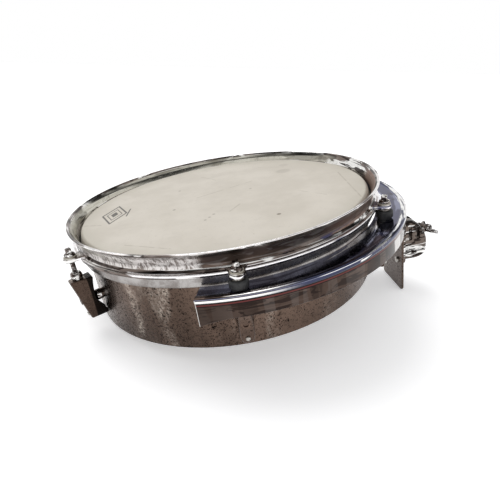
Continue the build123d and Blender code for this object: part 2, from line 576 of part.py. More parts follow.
def assembly():
    """Every node's name with the list of solids that it holds, in the drum's frame."""
    lugs = range(LUG_COUNT)
    collar_seat = EAR_TOP + STEEL_WASHER
    nodes = {
        "shell": [shell()],
        "head_film": [head_film()],
        "flesh_hoop": [flesh_hoop()],
        "head_resin": [head_resin()],
        "counter_hoop": [counter_hoop()],
        "rod_steel_washers": around(washer(WASHER_HOLE, WASHER_RADIUS, EAR_TOP, collar_seat), at_rod, lugs),
        "rod_nylon_washers": around(
            washer(WASHER_HOLE, WASHER_RADIUS - 0.6, collar_seat, collar_seat + NYLON_WASHER), at_rod, lugs),
        "lug_standoffs": around(lug_standoff(), at_lug, lugs),
        "lug_bolts": around(lug_bolt(), at_lug, lugs),
        "lug_bolt_washers": around(lug_bolt_washer(), at_lug, lugs),
        "lug_rivets": around(lug_rivet(), at_lug, lugs),
        "suspension_band": [suspension_band()],
        "grommet_sleeves": around(
            washer(SLEEVE_IN, SLEEVE_OUT - SEATED, GROMMET_LOW, GROMMET_TOP), at_rod, MOUNTED_LUGS),
        "grommet_washers": around(
            washer(SLEEVE_IN, SHIM_RADIUS, GROMMET_TOP + SEATED, EAR_LOW - SEATED), at_rod, MOUNTED_LUGS),
        "mount_plate": [mount_plate()],
        "plate_bolts": [Pos(0, side * PLATE_BOLT_Y, PLATE_BOLT_Z) * plate_bolt() for side in (-1, 1)],
        "plate_nuts": [Pos(0, side * PLATE_BOLT_Y, PLATE_BOLT_Z) * plate_nut() for side in (-1, 1)],
        "bracket_gasket": [bracket_gasket()],
        "bracket_body": [bracket_body()],
        "bracket_screws": [Pos(0, y, z) * bracket_bolt() for y, z in bracket_bolt_places()],
        "eye_bolt": [eye_bolt()],
        "wing_washer": [wing_washer()],
        "wing_nut": [wing_nut()],
    }
    for index in lugs:
        nodes[f"tension_rod_{index + 1}"] = [at_rod(tension_rod(), index)]
        nodes[f"lug_body_{index + 1}"] = [at_lug(lug_body(), index)]
        nodes[f"lug_nut_{index + 1}"] = [at_rod(lug_nut(), index)]
    for count, index in enumerate(MOUNTED_LUGS):
        nodes[f"isolation_grommet_{count + 1}"] = [at_rod(isolation_grommet(), index)]
    return nodes


def resting_shift(nodes):
    """Shift that puts the tilted assembly's base centre at the origin."""
    boxes = [(Rot(0, -REST_TILT, 0) * solid).bounding_box() for group in nodes.values() for solid in group]
    low = [min(getattr(box.min, axis) for box in boxes) for axis in "XYZ"]
    high = [max(getattr(box.max, axis) for box in boxes) for axis in "XYZ"]
    return (-(low[0] + high[0]) / 2, -(low[1] + high[1]) / 2, -low[2])


def main():
    """Builds every node, tilts it into the resting attitude and writes one STEP for each."""
    nodes = assembly()
    shift = resting_shift(nodes)
    print("tilt", round(REST_TILT, 5), "shift", [round(value, 4) for value in shift])
    place = Pos(*shift) * Rot(0, -REST_TILT, 0)
    os.makedirs("parts", exist_ok=True)
    for name, solids in nodes.items():
        placed = [place * solid for solid in solids]
        if len(placed) == 1:
            export_step(placed[0], f"parts/{name}.step")
        else:
            export_step(Compound(children=placed), f"parts/{name}.step")


main()
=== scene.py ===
import json
import math

import bpy
import numpy as np
from mathutils import Matrix, Vector


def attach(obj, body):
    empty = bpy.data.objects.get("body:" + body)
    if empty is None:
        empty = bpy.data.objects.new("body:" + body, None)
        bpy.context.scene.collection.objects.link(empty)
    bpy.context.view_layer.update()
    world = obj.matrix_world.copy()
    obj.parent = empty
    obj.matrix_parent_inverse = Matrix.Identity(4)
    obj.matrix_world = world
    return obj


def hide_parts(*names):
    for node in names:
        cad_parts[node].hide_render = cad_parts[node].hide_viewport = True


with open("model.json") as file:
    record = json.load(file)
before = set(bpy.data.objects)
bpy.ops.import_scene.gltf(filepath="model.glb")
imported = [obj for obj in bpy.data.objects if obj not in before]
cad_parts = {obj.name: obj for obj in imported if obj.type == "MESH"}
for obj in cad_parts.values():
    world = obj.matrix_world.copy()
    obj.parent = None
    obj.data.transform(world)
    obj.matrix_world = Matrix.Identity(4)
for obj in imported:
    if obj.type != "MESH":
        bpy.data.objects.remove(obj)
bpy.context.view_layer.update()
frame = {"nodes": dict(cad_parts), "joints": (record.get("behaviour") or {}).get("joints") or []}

# Sizes are in millimetres in the drum's own frame: origin at the centre of the shell's open
# lower rim, +Z along the drum's axis, +X towards the mount. DRUM takes them to the row frame.
LUG_COUNT = 6
FIRST_LUG = -90.0
LUG_STEP = 360.0 / LUG_COUNT
ROD_CIRCLE = 198.5
SHELL_RADIUS = 177.8
SHELL_DEPTH = 101.6
EAR_LOW = 88.6
EAR_TOP = 92.4
MOUNTED_LUGS = (0, 1, 2, 3)

rod_joints = [joint for joint in frame["joints"] if joint["name"].startswith("rod_")]
axis = Vector(rod_joints[0]["axis"])
tilt = math.atan2(-axis.x, axis.z)
middle = sum((Vector(joint["pos_m"]) for joint in rod_joints), Vector()) / LUG_COUNT
origin = middle - axis * EAR_TOP * 0.001
DRUM = Matrix.Translation(origin) @ Matrix.Rotation(-tilt, 4, "Y") @ Matrix.Scale(0.001, 4)


# ---------------------------------------------------------------- mesh helpers

def rounded(outline, steps=5):
    """Closed outline of (a, b, radius) corners as plain points with every corner rounded."""
    points = []
    count = len(outline)
    for index, (a, b, radius) in enumerate(outline):
        corner = Vector((a, b))
        before = Vector(outline[index - 1][:2]) - corner
        after = Vector(outline[(index + 1) % count][:2]) - corner
        if radius <= 0:
            points.append((a, b))
            continue
        half = before.angle(after) / 2
        cut = min(radius / math.tan(half), 0.48 * before.length, 0.48 * after.length)
        start = corner + before.normalized() * cut
        end = corner + after.normalized() * cut
        for step in range(steps + 1):
            t = step / steps
            point = start * (1 - t) ** 2 + corner * 2 * t * (1 - t) + end * t * t
            points.append(tuple(point))
    return points


def refined(points, longest):
    """Closed outline with its long straight runs divided."""
    result = []
    for index, point in enumerate(points):
        start, end = Vector(point), Vector(points[(index + 1) % len(points)])
        parts = max(1, math.ceil((end - start).length / longest))
        result += [tuple(start.lerp(end, k / parts)) for k in range(parts)]
    return result


def build(name, verts, faces, place=None):
    """Mesh object from drum-frame points; place is applied before the drum's own placing."""
    matrix = DRUM if place is None else DRUM @ place
    points = np.asarray(verts, dtype=float)
    points = points @ np.array(matrix.to_3x3()).T + np.array(matrix.translation)
    mesh = bpy.data.meshes.new(name)
    mesh.from_pydata(points.tolist(), [], faces)
    mesh.validate()
    thing = bpy.data.objects.new(name, mesh)
    bpy.context.scene.collection.objects.link(thing)
    return thing


def tube_faces(rings, around, closed_rings, closed_around):
    """Quads between successive rings of equally many points."""
    faces = []
    last_ring = rings if closed_rings else rings - 1
    last_point = around if closed_around else around - 1
    for i in range(last_ring):
        for j in range(last_point):
            a = i * around + j
            b = i * around + (j + 1) % around
            c = ((i + 1) % rings) * around + (j + 1) % around
            d = ((i + 1) % rings) * around + j
            faces.append((a, b, c, d))
    return faces


def lathe(name, outline, segments=96, place=None, closed=True):
    """Solid turned about the local Z axis from an outline of (radius, height) points."""
    count = len(outline)
    verts = []
    for i in range(segments):
        turn = 2 * math.pi * i / segments
        verts += [(r * math.cos(turn), r * math.sin(turn), z) for r, z in outline]
    return build(name, verts, tube_faces(segments, count, True, closed), place)


def join(name, *parts):
    """Several objects made into one, named name."""
    bpy.ops.object.select_all(action="DESELECT")
    for part in parts:
        part.select_set(True)
    bpy.context.view_layer.objects.active = parts[0]
    bpy.ops.object.join()
    parts[0].name = name
    parts[0].data.name = name
    return parts[0]


def prism(name, outline, low, high, place=None):
    """Upright slab on an outline of (x, y) points between two heights."""
    count = len(outline)
    verts = [(x, y, low) for x, y in outline] + [(x, y, high) for x, y in outline]
    faces = tube_faces(2, count, False, True)
    faces += [tuple(range(count))[::-1], tuple(range(count, 2 * count))]
    return build(name, verts, faces, place)


def clean(thing, angle=35.0):
    """Outward normals, welded seams and smooth shading that stays crisp over flat faces."""
    bpy.ops.object.select_all(action="DESELECT")
    thing.select_set(True)
    bpy.context.view_layer.objects.active = thing
    bpy.ops.object.mode_set(mode="EDIT")
    bpy.ops.mesh.select_all(action="SELECT")
    bpy.ops.mesh.remove_doubles(threshold=0.000002)
    bpy.ops.mesh.normals_make_consistent(inside=False)
    bpy.ops.object.mode_set(mode="OBJECT")
    thing.data.shade_smooth()
    thing.data.set_sharp_from_angle(angle=math.radians(angle))
    return thing


def softened(thing, width, segments=3, angle=30.0):
    """Rounds the sharp edges of a piece; width is in millimetres."""
    bevel = thing.modifiers.new("rounded_edges", "BEVEL")
    bevel.width = width * 0.001
    bevel.segments = segments
    bevel.limit_method = "ANGLE"
    bevel.angle_limit = math.radians(angle)
    bevel.harden_normals = True
    return thing


def settle(thing):
    """Bakes a piece's modifiers into its mesh."""
    shape = thing.evaluated_get(bpy.context.evaluated_depsgraph_get())
    thing.data = bpy.data.meshes.new_from_object(shape)
    thing.modifiers.clear()


def finished(thing, material, body, slot, *nodes):
    """Paints a piece, hangs it on its body and hides the CAD nodes it stands in for."""
    thing.data.materials.clear()
    thing.data.materials.append(material)
    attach(thing, body)
    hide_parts(*nodes)
    return thing


def at_lug(index):
    """Placing that turns +X towards a lug."""
    return Matrix.Rotation(math.radians(FIRST_LUG + LUG_STEP * index), 4, "Z")


def at_rod(index):
    """Placing whose Z axis is a rod's axis."""
    return at_lug(index) @ Matrix.Translation((ROD_CIRCLE, 0, 0))


# ---------------------------------------------------------------- material helpers

class Paint:
    """One procedural material. Positions inside it are drum-frame millimetres."""

    def __init__(self, name, metallic):
        self.material = bpy.data.materials.new(name)
        self.material.use_nodes = True
        self.tree = self.material.node_tree
        self.tree.nodes.clear()
        self.bsdf = self.node("ShaderNodeBsdfPrincipled")
        self.bsdf.inputs["Metallic"].default_value = metallic
        self.bsdf.inputs["IOR"].default_value = 1.5
        output = self.node("ShaderNodeOutputMaterial")
        self.wire(self.bsdf.outputs[0], output.inputs["Surface"])
        coordinates = self.node("ShaderNodeTexCoord")
        mapping = self.node("ShaderNodeMapping")
        inverse = DRUM.inverted()
        mapping.inputs["Location"].default_value = inverse.translation
        mapping.inputs["Rotation"].default_value = (0, tilt, 0)
        mapping.inputs["Scale"].default_value = (1000, 1000, 1000)
        self.wire(coordinates.outputs["Object"], mapping.inputs["Vector"])
        self.place = mapping.outputs["Vector"]

    def node(self, kind, **settings):
        made = self.tree.nodes.new(kind)
        for key, value in settings.items():
            setattr(made, key, value)
        return made

    def wire(self, source, target):
        self.tree.links.new(source, target)

    def feed(self, target, value):
        if isinstance(value, bpy.types.NodeSocket):
            self.wire(value, target)
        else:
            target.default_value = value

    def maths(self, operation, first, second=0.0, third=0.0, clamp=False):
        made = self.node("ShaderNodeMath", operation=operation, use_clamp=clamp)
        for target, value in zip(made.inputs, (first, second, third)):
            self.feed(target, value)
        return made.outputs[0]

    def vectors(self, operation, first, second=(0, 0, 0)):
        """Vector sum on two sockets or tuples; a length or a product comes out as a number."""
        made = self.node("ShaderNodeVectorMath", operation=operation)
        self.feed(made.inputs[0], first)
        self.feed(made.inputs[1], second)
        number = operation in ("DOT_PRODUCT", "DISTANCE", "LENGTH")
        return made.outputs["Value" if number else "Vector"]

    def stretched(self, x, y, z, shift=0.0):
        """Position scaled along each axis, for grain that runs one way."""
        moved = self.vectors("MULTIPLY", self.place, (x, y, z))
        return self.vectors("ADD", moved, (shift, shift * 0.7, shift * 1.3))

    def noise(self, size, detail=4.0, rough=0.55, distortion=0.0, where=None):
        """Cloudy noise from 0 to 1 whose blotches are about size millimetres."""
        made = self.node("ShaderNodeTexNoise")
        self.feed(made.inputs["Vector"], where or self.place)
        made.inputs["Scale"].default_value = 1.0 / size
        made.inputs["Detail"].default_value = detail
        made.inputs["Roughness"].default_value = rough
        made.inputs["Distortion"].default_value = distortion
        return made.outputs["Fac"]

    def cells(self, size, where=None):
        """Distance to the nearest of scattered points, about size millimetres apart."""
        made = self.node("ShaderNodeTexVoronoi")
        self.feed(made.inputs["Vector"], where or self.place)
        made.inputs["Scale"].default_value = 1.0 / size
        made.inputs["Randomness"].default_value = 1.0
        return made.outputs["Distance"]

    def step(self, value, low, high):
        """0 below low, 1 above high, smooth between; the other way round if low is higher."""
        made = self.node("ShaderNodeMapRange", interpolation_type="SMOOTHSTEP", clamp=True)
        self.feed(made.inputs["Value"], value)
        made.inputs["From Min"].default_value = low
        made.inputs["From Max"].default_value = high
        return made.outputs["Result"]

    def blend(self, amount, first, second):
        """first where amount is 0, second where it is 1."""
        made = self.node("ShaderNodeMix", data_type="RGBA", blend_type="MIX")
        self.feed(made.inputs[0], amount)
        for target, value in ((made.inputs[6], first), (made.inputs[7], second)):
            if isinstance(value, tuple) and len(value) == 3:
                value = (*value, 1.0)
            self.feed(target, value)
        return made.outputs[2]

    def between(self, amount, low, high):
        return self.maths("MULTIPLY_ADD", amount, high - low, low)

    def both(self, first, second):
        return self.maths("MULTIPLY", first, second)

    def either(self, first, second):
        return self.maths("MAXIMUM", first, second)

    def coordinates(self):
        made = self.node("ShaderNodeSeparateXYZ")
        self.wire(self.place, made.inputs[0])
        return made.outputs

    def radius(self):
        """Distance from the drum's axis."""
        return self.vectors("LENGTH", self.vectors("MULTIPLY", self.place, (1, 1, 0)))

    def ringed(self, along, across, shift=0.0):
        """Positions unrolled round the drum's axis: arc length, radius and height, each scaled."""
        x, y, z = self.coordinates()
        arc = self.both(self.maths("ARCTAN2", x, self.both(y, -1.0)), 190.0 * along)
        made = self.node("ShaderNodeCombineXYZ")
        radius = self.radius()
        self.wire(self.maths("ADD", arc, shift), made.inputs[0])
        self.wire(self.both(radius, across), made.inputs[1])
        self.wire(self.both(z, across), made.inputs[2])
        return made.outputs[0]

    def stroke(self, start, end, width, where):
        """1 on a straight mark between two (x, y) points, 0 away from it."""
        a = Vector((*start, 0))
        b = Vector((*end, 0)) - a
        away = self.vectors("SUBTRACT", where, tuple(a))
        along = self.vectors("DOT_PRODUCT", away, tuple(b / b.length_squared))
        along = self.maths("ADD", along, 0.0, clamp=True)
        foot = self.node("ShaderNodeVectorMath", operation="SCALE")
        foot.inputs[0].default_value = b
        self.wire(along, foot.inputs["Scale"])
        distance = self.vectors("DISTANCE", away, foot.outputs["Vector"])
        return self.step(distance, width, width * 0.45)

    def spot(self, centre, radius, where):
        """1 on a soft-edged dot, 0 away from it."""
        distance = self.vectors("DISTANCE", where, (*centre, 0))
        return self.step(distance, radius, radius * 0.6)

    def bump(self, height, distance, strength=1.0, base=None):
        """Raises the surface by height times distance, in millimetres."""
        made = self.node("ShaderNodeBump")
        made.inputs["Strength"].default_value = strength
        made.inputs["Distance"].default_value = distance * 0.001
        self.wire(height, made.inputs["Height"])
        if base is not None:
            self.wire(base, made.inputs["Normal"])
        return made.outputs["Normal"]

    def finish(self, colour, roughness, normal=None):
        self.feed(self.bsdf.inputs["Base Color"], colour)
        self.feed(self.bsdf.inputs["Roughness"], roughness)
        if normal is not None:
            self.wire(normal, self.bsdf.inputs["Normal"])
        return self.material


def chrome(name, bright, middle, dark, seed, streak, size, share=0.52, wear=0.4, face=None):
    """Plated steel: crisp long patches of three tones and thin bright and dark lines, all painted
    reflections, with scratches and pin-pricks.

    face(paint, colour) may paint what only one piece has over the common finish, and says
    where that is duller.
    """
    paint = Paint(name, 1.0)
    where = paint.stretched(*streak, shift=seed)
    broad = paint.noise(size, 2.0, 0.4, 0.7, where)
    narrow = paint.noise(size * 0.42, 3.0, 0.5, 0.9, where)
    lines = paint.noise(size * 0.8, 2.0, 0.5, 0.2, paint.stretched(0.5, 0.5, streak[2] * 5, seed + 3.0))
    # Painted reflections: long light and dark patches, then thin bright and dark lines.
    colour = paint.blend(paint.step(broad, share, share + 0.03), middle, bright)
    colour = paint.blend(paint.step(narrow, 0.51, 0.55), colour, dark)
    colour = paint.blend(paint.step(lines, 0.60, 0.64), colour, bright)
    colour = paint.blend(paint.step(lines, 0.37, 0.34), colour, dark)
    matt = 0.0
    if face is not None:
        colour, matt = face(paint, colour)
    film = paint.noise(9.0, 5.0, 0.6, 0.4)
    scratches = paint.noise(2.2, 3.0, 0.6, 0.0, paint.stretched(0.12, 0.12, 3.0, seed))
    hairs = paint.step(scratches, 0.62, 0.7)
    pricks = paint.step(paint.cells(2.2), 0.16, 0.08)
    pricks = paint.both(pricks, paint.step(paint.noise(14.0, 3.0), 0.55, 0.7))
    colour = paint.blend(paint.both(paint.step(film, 0.5, 0.75), 0.35), colour, dark)
    colour = paint.blend(paint.both(hairs, 0.3), colour, middle)
    colour = paint.blend(paint.both(pricks, wear), colour, (0.05, 0.035, 0.028))
    roughness = paint.between(film, 0.05, 0.16)
    roughness = paint.maths("MULTIPLY_ADD", matt, 0.30, roughness)
    roughness = paint.maths("MULTIPLY_ADD", hairs, 0.14, roughness)
    roughness = paint.maths("MULTIPLY_ADD", pricks, 0.4, roughness)
    waves = paint.bump(paint.noise(30.0, 2.0), 0.25, 0.35)
    grit = paint.bump(paint.either(pricks, hairs), -0.03, 0.5, waves)
    return paint.finish(colour, roughness, grit)


def window(paint, value, low, high, soft):
    """1 where value lies between low and high, with soft edges."""
    return paint.both(paint.step(value, low, low + soft), paint.step(value, high, high - soft))


def hoop_face(paint, colour):
    """Painted reflections on the hoop: a grey reflection patch on the near wall, brown reflections beside
    it, a lighter reflection inside the rim, a highlight on the top edge, blue reflections on the right and
    glare on the bead.
    """
    x, y, z = paint.coordinates()
    near = paint.step(y, 0.0, -20.0)
    wall = window(paint, z, 93.0, 109.6, 0.8)
    # Painted brown reflections on the right of the near wall, redder further right.
    east = paint.both(paint.both(near, wall), paint.step(x, -34.0, -26.0))
    long_patches = paint.noise(30.0, 2.0, 0.4, 0.5, paint.ringed(0.35, 2.2, 40.0))
    brown = paint.blend(paint.step(long_patches, 0.48, 0.53), (0.06, 0.043, 0.035), (0.13, 0.095, 0.078))
    far_east = paint.step(x, 80.0, 115.0)
    brown = paint.blend(paint.both(far_east, 0.7), brown, (0.27, 0.165, 0.125))
    colour = paint.blend(paint.both(east, 0.88), colour, brown)
    # Painted reflection: a mottled grey patch on the left of the near wall, dark around it.
    west = paint.both(paint.both(near, wall), paint.step(x, -28.0, -40.0))
    grey_reflection_mottle = paint.noise(3.0, 4.0, 0.7, 0.5, paint.stretched(1.0, 1.0, 0.35, 13.0))
    grey = paint.blend(paint.step(grey_reflection_mottle, 0.40, 0.54), (0.22, 0.19, 0.175), (0.74, 0.71, 0.69))
    patch = paint.step(paint.noise(26.0, 2.0, 0.5, 0.4, paint.ringed(0.4, 1.6, 17.0)), 0.33, 0.37)
    colour = paint.blend(west, colour, paint.blend(patch, (0.16, 0.12, 0.10), grey))
    radius = paint.radius()
    # Painted reflection on the inside of the rim, towards the near side.
    inside = paint.both(paint.step(radius, 189.0, 186.5), window(paint, z, 100.0, 110.6, 0.6))
    towards_near = paint.vectors("DOT_PRODUCT", paint.place, (0.6, -0.8, 0))
    inside = paint.both(inside, paint.step(towards_near, 60.0, 0.0))
    mirrored = paint.blend(paint.step(long_patches, 0.40, 0.46), (0.28, 0.265, 0.22), (0.52, 0.50, 0.43))
    colour = paint.blend(paint.both(inside, 0.9), colour, mirrored)
    # Painted highlight along the top edge of the near side.
    edge = paint.both(paint.both(near, paint.step(z, 110.9, 111.2)), paint.step(long_patches, 0.56, 0.50))
    colour = paint.blend(edge, colour, (0.78, 0.76, 0.75))
    # Painted blue reflections on the right of the near side, low on the hoop.
    blue_reflection_area = paint.both(paint.both(near, paint.step(x, 30.0, 70.0)), window(paint, z, 86.0, 97.0, 2.0))
    blue = paint.step(paint.noise(30.0, 3.0, 0.5, 0.6, paint.ringed(0.3, 1.6, 25.0)), 0.46, 0.52)
    colour = paint.blend(paint.both(blue_reflection_area, paint.both(blue, 0.85)), colour, (0.05, 0.055, 0.12))
    # Painted highlight: glare on the bead.
    bead = paint.both(near, window(paint, z, 88.4, 91.0, 0.3))
    glare = paint.step(paint.noise(26.0, 2.0, 0.4, 0.3, paint.ringed(0.3, 1.4, 81.0)), 0.44, 0.48)
    colour = paint.blend(paint.both(bead, glare), colour, (0.92, 0.90, 0.91))
    return colour, paint.either(paint.both(west, patch), east)


def band_face(paint, colour):
    """Painted reflections on the band: light and dark lines along the roll, upright light and dark streaks
    on the wall, blue reflections and bright streaks on the flange, and a highlight at the ends.
    """
    x, y, z = paint.coordinates()
    wall = paint.step(z, 72.5, 71.5)
    # Painted reflections on the wall: light and dark upright streaks, the light ones stronger towards +X.
    upright_reflection_streaks = paint.noise(20.0, 3.0, 0.5, 0.3, paint.stretched(1.0, 1.0, 0.12, 31.0))
    east = paint.step(x, 122.0, 138.0)
    light = paint.both(wall, paint.step(upright_reflection_streaks, 0.53, 0.56))
    light = paint.both(light, paint.maths("MULTIPLY_ADD", east, 0.8, 0.04))
    colour = paint.blend(light, colour, (0.56, 0.54, 0.52))
    gloom = paint.both(wall, paint.step(upright_reflection_streaks, 0.46, 0.43))
    gloom = paint.both(gloom, paint.maths("MULTIPLY_ADD", east, 0.4, 0.5))
    colour = paint.blend(gloom, colour, (0.02, 0.014, 0.012))
    # Painted shade: the wall darker towards -X.
    west = paint.both(wall, paint.step(x, 10.0, -30.0))
    colour = paint.blend(paint.both(west, 0.6), colour, (0.026, 0.017, 0.013))
    # Painted reflections along the roll: dark, red-brown and dark lines, a broken bright line, a dark line
    # and a broken bright crest.
    highlight_gaps = paint.noise(26.0, 2.0, 0.5, 0.4, paint.ringed(0.3, 1.5, 51.0))
    colour = paint.blend(window(paint, z, 68.4, 69.4, 0.2), colour, (0.018, 0.014, 0.014))
    colour = paint.blend(window(paint, z, 69.4, 71.0, 0.3), colour, (0.12, 0.035, 0.034))
    colour = paint.blend(window(paint, z, 71.0, 72.6, 0.2), colour, (0.018, 0.014, 0.014))
    shine = paint.both(window(paint, z, 72.6, 75.3, 0.3), paint.step(highlight_gaps, 0.34, 0.42))
    colour = paint.blend(shine, colour, (0.92, 0.91, 0.90))
    colour = paint.blend(window(paint, z, 75.2, 75.9, 0.2), colour, (0.03, 0.026, 0.028))
    crest = paint.both(window(paint, z, 76.7, 78.0, 0.3), paint.step(highlight_gaps, 0.62, 0.54))
    colour = paint.blend(crest, colour, (0.86, 0.85, 0.84))
    # Painted blue reflections on the roll and flange towards +X.
    cold = paint.noise(16.0, 3.0, 0.5, 0.5, paint.ringed(0.2, 1.5, 71.0))
    cold = paint.both(paint.step(x, 10.0, 60.0), paint.step(cold, 0.46, 0.50))
    colour = paint.blend(paint.both(cold, window(paint, z, 72.0, 79.0, 0.5)), colour, (0.05, 0.055, 0.10))
    # Painted reflections on the flange top: navy, blue-grey and bright streaks.
    top = window(paint, z, 75.9, 76.7, 0.2)
    streaks = paint.noise(24.0, 3.0, 0.5, 0.5, paint.ringed(0.22, 1.8, 61.0))
    flange = paint.blend(paint.step(streaks, 0.42, 0.46), (0.06, 0.06, 0.11), (0.20, 0.21, 0.30))
    flange = paint.blend(paint.step(streaks, 0.56, 0.59), flange, (0.92, 0.92, 0.95))
    # Painted highlight at the ends of the band.
    ends = paint.both(paint.step(x, -39.9, -40.3), paint.step(z, 76.4, 75.9))
    colour = paint.blend(ends, colour, (0.62, 0.60, 0.58))
    return paint.blend(top, colour, flange), 0.0


def aged(name, tone, freckle, shift, gap=0.0):
    """Old chrome, dark brown from tarnish and painted dim reflections: painted upright glints, rust
    freckles and pitting that thickens downwards.

    Within the radius gap, between a lug and the shell, it is painted nearly black as shade.
    """
    paint = Paint(name, 1.0)
    x, y, z = paint.coordinates()
    upright_glint_runs = paint.noise(38.0, 3.0, 0.5, 0.3, paint.stretched(1.0, 1.0, 0.35, 3.0 + shift))
    bands = paint.noise(60.0, 2.0, 0.5, 0.2, paint.stretched(1.0, 1.0, 0.3, 11.0 + shift))
    clouds = paint.noise(12.0, 6.0, 0.62)
    low = paint.step(z, 70.0, 5.0)
    west = paint.step(x, 90.0, -120.0)
    east = paint.step(x, 10.0, 120.0)
    grime = paint.maths("ADD", paint.both(low, 0.10), paint.both(west, 0.13))
    freckles = paint.maths("ADD", paint.noise(2.2, 4.0, 0.7), paint.both(grime, 0.6))
    freckles = paint.step(freckles, 0.60, 0.68)
    holes = paint.step(paint.noise(3.4, 3.0, 0.6, 0.8), 0.60, 0.64)
    pits = paint.either(paint.step(paint.cells(2.3), 0.30, 0.16), holes)
    pits = paint.both(pits, paint.step(paint.maths("ADD", paint.noise(22.0, 4.0, 0.6), grime), 0.52, 0.66))
    dark = tuple(value * 0.30 for value in tone)
    pale = (0.46, 0.40, 0.345)
    colour = paint.blend(paint.step(bands, 0.40, 0.60), tuple(value * 0.55 for value in tone), tone)
    # Painted highlights: upright pale glints, fewer towards +X.
    sparkle = paint.step(paint.noise(4.0, 4.0, 0.7, 0.5), 0.42, 0.58)
    glints = paint.both(paint.step(upright_glint_runs, 0.50, 0.68), paint.maths("MULTIPLY_ADD", east, -0.75, 0.85))
    glints = paint.both(glints, paint.maths("MULTIPLY_ADD", sparkle, 0.7, 0.3))
    colour = paint.blend(glints, colour, pale)
    shade = tuple(value * 0.6 for value in tone)
    colour = paint.blend(paint.both(paint.step(clouds, 0.50, 0.64), 0.5), colour, shade)
    # Painted shade: darker towards +X.
    colour = paint.blend(paint.both(east, 0.55), colour, (0.062, 0.040, 0.030))
    colour = paint.blend(paint.both(freckles, freckle), colour, dark)
    colour = paint.blend(paint.both(pits, min(1.0, 0.3 + freckle)), colour, (0.008, 0.005, 0.004))
    # Painted shade in the gap behind a lug.
    if gap > 0:
        colour = paint.blend(paint.step(paint.radius(), gap, gap - 1.2), colour, (0.008, 0.006, 0.005))
    rough = paint.between(clouds, 0.12, 0.30)
    rough = paint.maths("MULTIPLY_ADD", freckles, 0.22, rough)
    rough = paint.maths("MULTIPLY_ADD", pits, 0.25, rough, clamp=True)
    waves = paint.bump(bands, 0.5, 0.4)
    worn = paint.bump(paint.either(pits, paint.both(freckles, 0.5)), -0.12, 0.7, waves)
    return paint.finish(colour, rough, worn)


def coated_head():
    """Sprayed white coating gone cream, with stick marks, scuffs and a small printed device."""
    paint = Paint("coated_film_paint", 0.0)
    flat = paint.vectors("MULTIPLY", paint.place, (1, 1, 0))
    mottle = paint.noise(60.0, 5.0, 0.6)
    grain = paint.noise(1.1, 3.0, 0.7)
    rim = paint.step(paint.vectors("LENGTH", flat), 150.0, 181.0)
    colour = paint.blend(paint.step(mottle, 0.35, 0.65), (0.535, 0.492, 0.425), (0.595, 0.552, 0.485))
    colour = paint.blend(paint.both(rim, 0.4), colour, (0.455, 0.432, 0.36))
    colour = paint.blend(paint.step(paint.noise(5.0, 4.0, 0.7), 0.60, 0.72), colour, (0.515, 0.468, 0.40))
    playing = paint.both(paint.step(paint.noise(24.0, 4.0, 0.7), 0.56, 0.7), 0.35)
    colour = paint.blend(playing, colour, (0.50, 0.46, 0.40))
    scratches = None
    for start, end, width in SCRATCHES:
        mark = paint.stroke(start, end, width, flat)
        scratches = mark if scratches is None else paint.either(scratches, mark)
    worn = paint.both(scratches, paint.step(paint.noise(9.0, 3.0), 0.3, 0.55))
    colour = paint.blend(paint.both(worn, 0.45), colour, (0.32, 0.28, 0.22))
    for centre, radius, strength in SPOTS:
        mark = paint.both(paint.spot(centre, radius, flat), strength)
        colour = paint.blend(mark, colour, (0.20, 0.17, 0.13))
    colour = paint.blend(paint.both(device(paint, flat), 0.86), colour, (0.03, 0.027, 0.022))
    roughness = paint.between(grain, 0.5, 0.72)
    spray = paint.bump(grain, 0.05, 0.45)
    dents = paint.bump(paint.noise(38.0, 2.0), 0.35, 0.3, spray)
    return paint.finish(colour, roughness, dents)


def device(paint, flat):
    """Mask of the printed mark: two nested lozenges and a short bar beside them."""
    away = paint.vectors("SUBTRACT", flat, (*MARK_CENTRE, 0))
    across = paint.vectors("DOT_PRODUCT", away, (1, 0, 0))
    along = paint.vectors("DOT_PRODUCT", away, (0, 1, 0))
    reach = paint.maths("ADD", paint.maths("ABSOLUTE", paint.both(across, 1 / MARK_HALF_WIDTH)),
                        paint.maths("ABSOLUTE", paint.both(along, 1 / MARK_HALF_HEIGHT)))
    frame_line = paint.step(paint.maths("ABSOLUTE", paint.maths("SUBTRACT", reach, 1.0)), 0.10, 0.06)
    inner_line = paint.step(paint.maths("ABSOLUTE", paint.maths("SUBTRACT", reach, 0.62)), 0.06, 0.03)
    core = paint.step(reach, 0.34, 0.28)
    x, y = MARK_CENTRE
    bar = paint.stroke((x + 18.0, y + 14.0), (x + 17.0, y - 14.0), 1.2, flat)
    return paint.either(paint.either(frame_line, inner_line), paint.either(core, bar))


def plain(name, metallic, light, dark, rough_low, rough_high, grain, size=12.0, seed=0.0):
    """Simple worn finish: two-tone blotches, uneven gloss and a fine surface."""
    paint = Paint(name, metallic)
    where = paint.stretched(1.0, 1.0, 1.0, seed)
    blotch = paint.step(paint.noise(size, 4.0, 0.6, 0.3, where), 0.38, 0.62)
    fine = paint.noise(1.2, 4.0, 0.65, 0.0, where)
    colour = paint.blend(blotch, dark, light)
    colour = paint.blend(paint.both(paint.step(fine, 0.6, 0.72), 0.5), colour, dark)
    return paint.finish(colour, paint.between(fine, rough_low, rough_high), paint.bump(fine, grain, 0.5))


